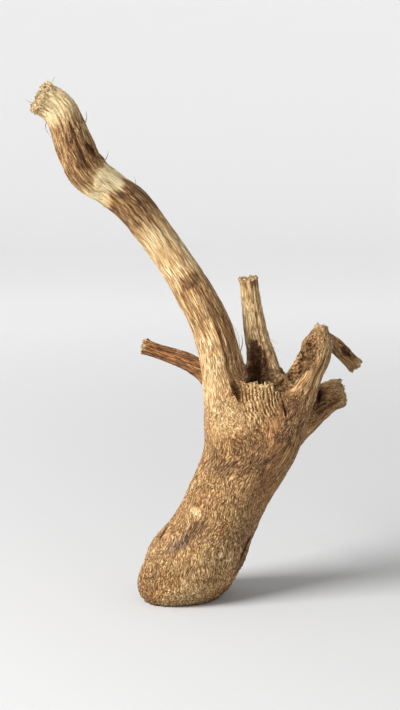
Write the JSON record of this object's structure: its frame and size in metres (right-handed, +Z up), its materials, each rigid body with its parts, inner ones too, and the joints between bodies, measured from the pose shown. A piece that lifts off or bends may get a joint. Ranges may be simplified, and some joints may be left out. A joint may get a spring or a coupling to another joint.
{
  "type": "piece of driftwood",
  "caption": "Water-worn root stump of driftwood that stands on its flat foot, with a long crooked branch, a rotted crown and short broken stubs.",
  "frame": {"origin": "the middle of the widest part of the foot, on the flat face that the piece stands on", "axes": "+Z up, +X to the right of the front view, away from the long branch's tip; the front faces -Y"},
  "size_m": [0.2533, 0.0822, 0.3938],
  "materials": {
    "weathered_wood": "bare, water-worn and sun-bleached, matt and fibrous"
  },
  "bodies": {
    "root": {"driftwood": "weathered_wood"}
  },
  "joints": []
}
